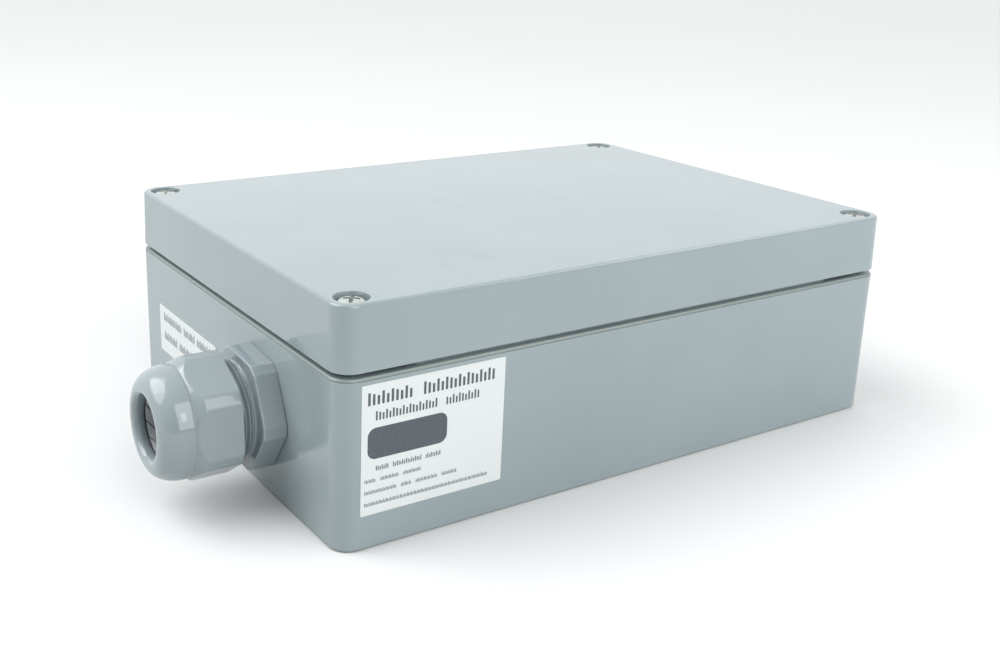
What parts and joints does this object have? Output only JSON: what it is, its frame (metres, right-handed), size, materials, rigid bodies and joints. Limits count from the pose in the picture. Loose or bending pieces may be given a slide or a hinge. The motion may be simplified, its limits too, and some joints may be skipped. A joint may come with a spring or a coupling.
{
  "type": "fiber termination box",
  "caption": "Rectangular grey plastic wall box for fibre splices, with a screwed cover, a cable gland at one end and a splice tray inside.",
  "frame": {"origin": "centre of the box's flat back face, which is its lowest face here", "axes": "+X along the box's long side, away from the cable gland; +Y across it, away from the face with the large label; +Z from the back towards the cover"},
  "size_m": [0.2963, 0.1805, 0.084],
  "materials": {
    "enclosure_grey": "smooth moulded blue-grey plastic, semi-gloss",
    "gland_grey": "moulded nylon, satin",
    "claw_grey": "moulded nylon, matte",
    "seal_black": "black rubber",
    "gasket_dark": "dark foam rubber",
    "stainless": "turned stainless steel",
    "brass": "turned brass",
    "zinc_sheet": "zinc-plated steel",
    "nylon_white": "natural nylon",
    "tray_grey": "moulded light grey plastic",
    "clear_plastic": "clear polycarbonate sheet",
    "label_white": "white adhesive label stock",
    "holder_rubber": "grey rubber"
  },
  "bodies": {
    "enclosure": {"base": "enclosure_grey", "fibre_clip_front": "nylon_white", "fibre_clip_rear": "nylon_white", "threaded_insert_front_left": "brass", "threaded_insert_front_right": "brass", "threaded_insert_rear_left": "brass", "threaded_insert_rear_right": "brass", "gland_body": "gland_grey", "gland_locknut": "gland_grey", "gland_flange_seal": "seal_black", "mounting_plate": "zinc_sheet", "plate_screw_front_left": "zinc_sheet", "plate_screw_front_right": "zinc_sheet", "plate_screw_rear_left": "zinc_sheet", "plate_screw_rear_right": "zinc_sheet", "tray_stud_left": "zinc_sheet", "tray_stud_right": "zinc_sheet", "clamp_bracket": "zinc_sheet", "clamp_bar": "zinc_sheet", "clamp_screw_front": "zinc_sheet", "clamp_screw_rear": "zinc_sheet", "bracket_screw_front": "zinc_sheet", "bracket_screw_rear": "zinc_sheet", "splice_tray": "tray_grey", "splice_tray_lid": "clear_plastic", "splice_holder_front": "holder_rubber", "splice_holder_rear": "holder_rubber", "front_label": "label_white", "end_label": "label_white"},
    "cover": {"cover": "enclosure_grey", "cover_gasket": "gasket_dark"},
    "screw_carrier_front_left": {"screw_retainer_front_left": "nylon_white"},
    "cover_screw_front_left": {"cover_screw_front_left": "stainless"},
    "screw_carrier_front_right": {"screw_retainer_front_right": "nylon_white"},
    "cover_screw_front_right": {"cover_screw_front_right": "stainless"},
    "screw_carrier_rear_left": {"screw_retainer_rear_left": "nylon_white"},
    "cover_screw_rear_left": {"cover_screw_rear_left": "stainless"},
    "screw_carrier_rear_right": {"screw_retainer_rear_right": "nylon_white"},
    "cover_screw_rear_right": {"cover_screw_rear_right": "stainless"},
    "gland_clamp": {"gland_claw": "claw_grey", "gland_seal": "seal_black"},
    "gland_cap": {"gland_dome_nut": "gland_grey"},
    "tray_washer_left": {"tray_washer_left": "zinc_sheet"},
    "tray_nut_left": {"tray_nut_left": "nylon_white"},
    "tray_washer_right": {"tray_washer_right": "zinc_sheet"},
    "tray_nut_right": {"tray_nut_right": "nylon_white"}
  },
  "joints": [
    {"name": "cover_lift", "type": "slide", "parent": "enclosure", "child": "cover", "axis": [0, 0, 1], "range_m": [0, 0.1]},
    {"name": "front_left_screw_rise", "type": "slide", "parent": "cover", "child": "screw_carrier_front_left", "axis": [0, 0, 1], "range_m": [0, 0.0064]},
    {"name": "front_left_screw_turn", "type": "hinge", "parent": "screw_carrier_front_left", "child": "cover_screw_front_left", "pos_m": [-0.1181, -0.0815, 0.0836], "axis": [0, 0, 1], "range_deg": [0, 2881]},
    {"name": "front_right_screw_rise", "type": "slide", "parent": "cover", "child": "screw_carrier_front_right", "axis": [0, 0, 1], "range_m": [0, 0.0064]},
    {"name": "front_right_screw_turn", "type": "hinge", "parent": "screw_carrier_front_right", "child": "cover_screw_front_right", "pos_m": [0.1181, -0.0815, 0.0836], "axis": [0, 0, 1], "range_deg": [0, 2881]},
    {"name": "rear_left_screw_rise", "type": "slide", "parent": "cover", "child": "screw_carrier_rear_left", "axis": [0, 0, 1], "range_m": [0, 0.0064]},
    {"name": "rear_left_screw_turn", "type": "hinge", "parent": "screw_carrier_rear_left", "child": "cover_screw_rear_left", "pos_m": [-0.1181, 0.0815, 0.0836], "axis": [0, 0, 1], "range_deg": [0, 2881]},
    {"name": "rear_right_screw_rise", "type": "slide", "parent": "cover", "child": "screw_carrier_rear_right", "axis": [0, 0, 1], "range_m": [0, 0.0064]},
    {"name": "rear_right_screw_turn", "type": "hinge", "parent": "screw_carrier_rear_right", "child": "cover_screw_rear_right", "pos_m": [0.1181, 0.0815, 0.0836], "axis": [0, 0, 1], "range_deg": [0, 2881]},
    {"name": "gland_clamp_slide", "type": "slide", "parent": "enclosure", "child": "gland_clamp", "axis": [-1, 0, 0], "range_m": [0, 0.012]},
    {"name": "gland_cap_turn", "type": "hinge", "parent": "gland_clamp", "child": "gland_cap", "pos_m": [-0.15, -0.0315, 0.0315], "axis": [-1, 0, 0], "range_deg": [0, 2161]},
    {"name": "left_tray_nut_rise", "type": "slide", "parent": "enclosure", "child": "tray_washer_left", "axis": [0, 0, 1], "range_m": [0, 0.0077]},
    {"name": "left_tray_nut_turn", "type": "hinge", "parent": "tray_washer_left", "child": "tray_nut_left", "pos_m": [-0.04, 0, 0.0319], "axis": [0, 0, 1], "range_deg": [0, 3961]},
    {"name": "right_tray_nut_rise", "type": "slide", "parent": "enclosure", "child": "tray_washer_right", "axis": [0, 0, 1], "range_m": [0, 0.0077]},
    {"name": "right_tray_nut_turn", "type": "hinge", "parent": "tray_washer_right", "child": "tray_nut_right", "pos_m": [0.094, 0, 0.0319], "axis": [0, 0, 1], "range_deg": [0, 3961]}
  ],
  "couplings": [
    {"joint": "front_left_screw_turn", "follows": "front_left_screw_rise", "rad_per_m": 7854},
    {"joint": "front_right_screw_turn", "follows": "front_right_screw_rise", "rad_per_m": 7854},
    {"joint": "rear_left_screw_turn", "follows": "rear_left_screw_rise", "rad_per_m": 7854},
    {"joint": "rear_right_screw_turn", "follows": "rear_right_screw_rise", "rad_per_m": 7854},
    {"joint": "gland_cap_turn", "follows": "gland_clamp_slide", "rad_per_m": 3141.6},
    {"joint": "left_tray_nut_turn", "follows": "left_tray_nut_rise", "rad_per_m": 8976},
    {"joint": "right_tray_nut_turn", "follows": "right_tray_nut_rise", "rad_per_m": 8976}
  ]
}
